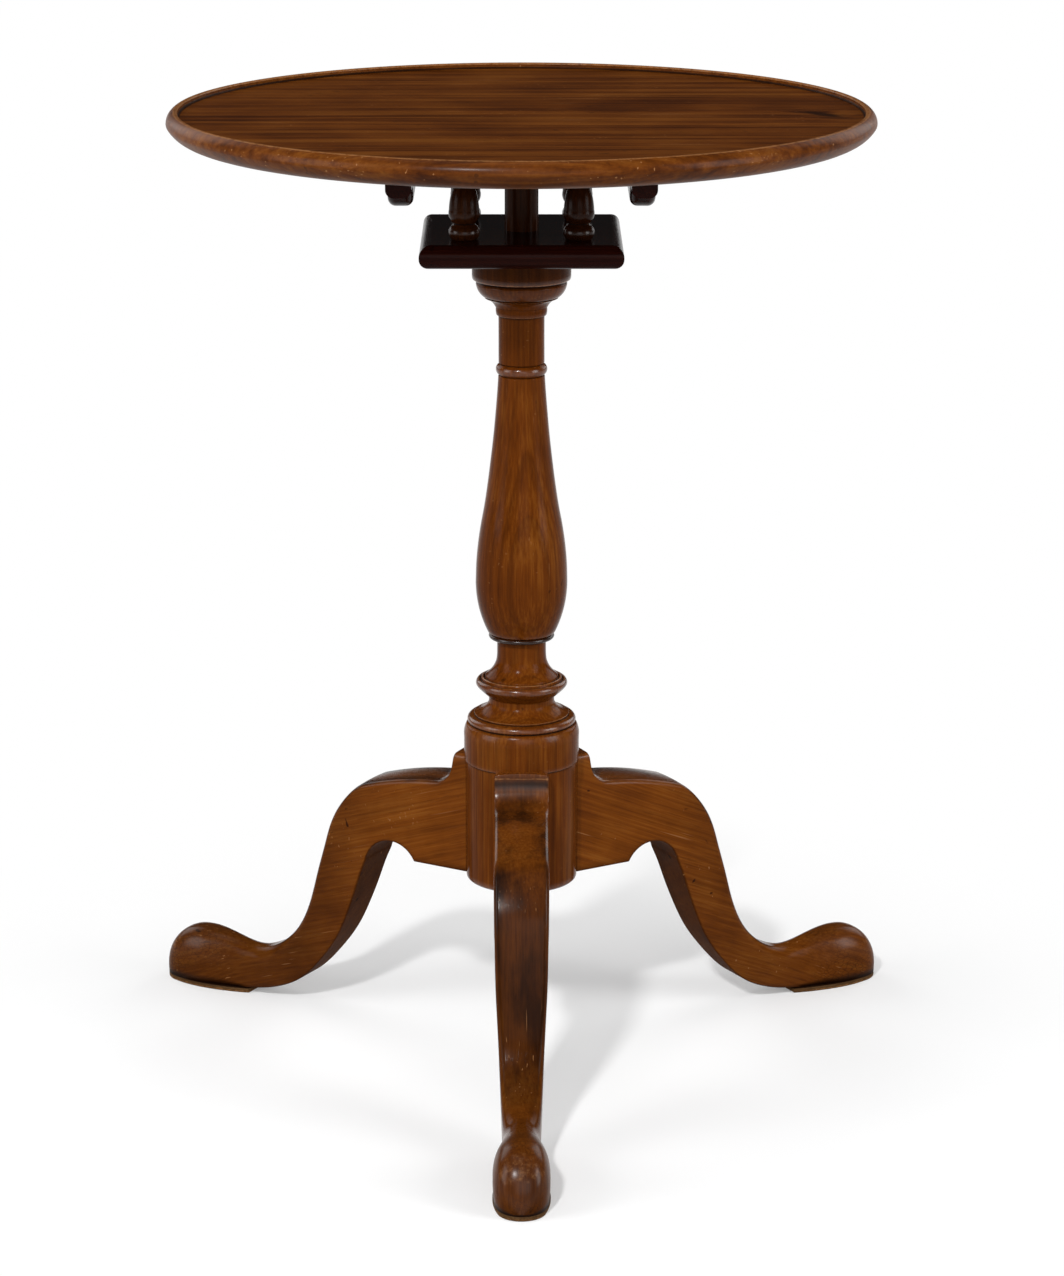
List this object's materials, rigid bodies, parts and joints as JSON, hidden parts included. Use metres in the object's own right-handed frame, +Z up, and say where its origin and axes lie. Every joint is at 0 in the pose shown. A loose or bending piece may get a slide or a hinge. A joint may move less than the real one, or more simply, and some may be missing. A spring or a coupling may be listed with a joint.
{
  "type": "tilt-top candle stand",
  "caption": "Tall slim wooden occasional table with a round dished top that tilts upright and turns on a pillared cage, above a turned column on splayed curved legs.",
  "frame": {"origin": "on the floor under the column's axis", "axes": "+Z up along the column's axis, -Y to the front, along the front leg, +X to the right"},
  "size_m": [0.5686, 0.578, 0.7191],
  "materials": {
    "walnut": "old semi-gloss polish over warm brown wood",
    "dark_walnut": "glossy dark brown polish",
    "sole_wood": "worn, dull",
    "old_brass": "aged, dull sheen",
    "old_iron": "dark, lightly rusted"
  },
  "bodies": {
    "stand": {"column": "walnut", "leg_front": "walnut", "leg_left": "walnut", "leg_right": "walnut", "sole_front": "sole_wood", "sole_left": "sole_wood", "sole_right": "sole_wood", "sole_pins": "old_iron"},
    "key": {"wedge_key": "dark_walnut"},
    "cage": {"lower_block": "dark_walnut", "upper_block": "dark_walnut", "pillar_front_left": "dark_walnut", "pillar_front_right": "dark_walnut", "pillar_back_left": "dark_walnut", "pillar_back_right": "dark_walnut", "pillar_wedges": "dark_walnut", "collar": "dark_walnut", "strike_plate": "old_brass", "strike_screws": "old_brass"},
    "top": {"dish_top": "walnut", "cleat_left": "dark_walnut", "cleat_right": "dark_walnut", "cleat_screws": "old_iron", "bolt_case": "old_brass", "bolt_screws": "old_brass"},
    "bolt": {"slide_bolt": "old_brass"}
  },
  "joints": [
    {"name": "cage_turn", "type": "hinge", "parent": "stand", "child": "cage", "pos_m": [0, 0, 0.65], "axis": [0, 0, 1], "continuous": true},
    {"name": "top_tilt", "type": "hinge", "parent": "cage", "child": "top", "pos_m": [0, -0.064, 0.6907], "axis": [1, 0, 0], "range_deg": [0, 88]},
    {"name": "bolt_slide", "type": "slide", "parent": "top", "child": "bolt", "axis": [0, -1, 0], "range_m": [0, 0.008]},
    {"name": "key_slide", "type": "slide", "parent": "stand", "child": "key", "axis": [1, 0, 0], "range_m": [0, 0.04]}
  ]
}
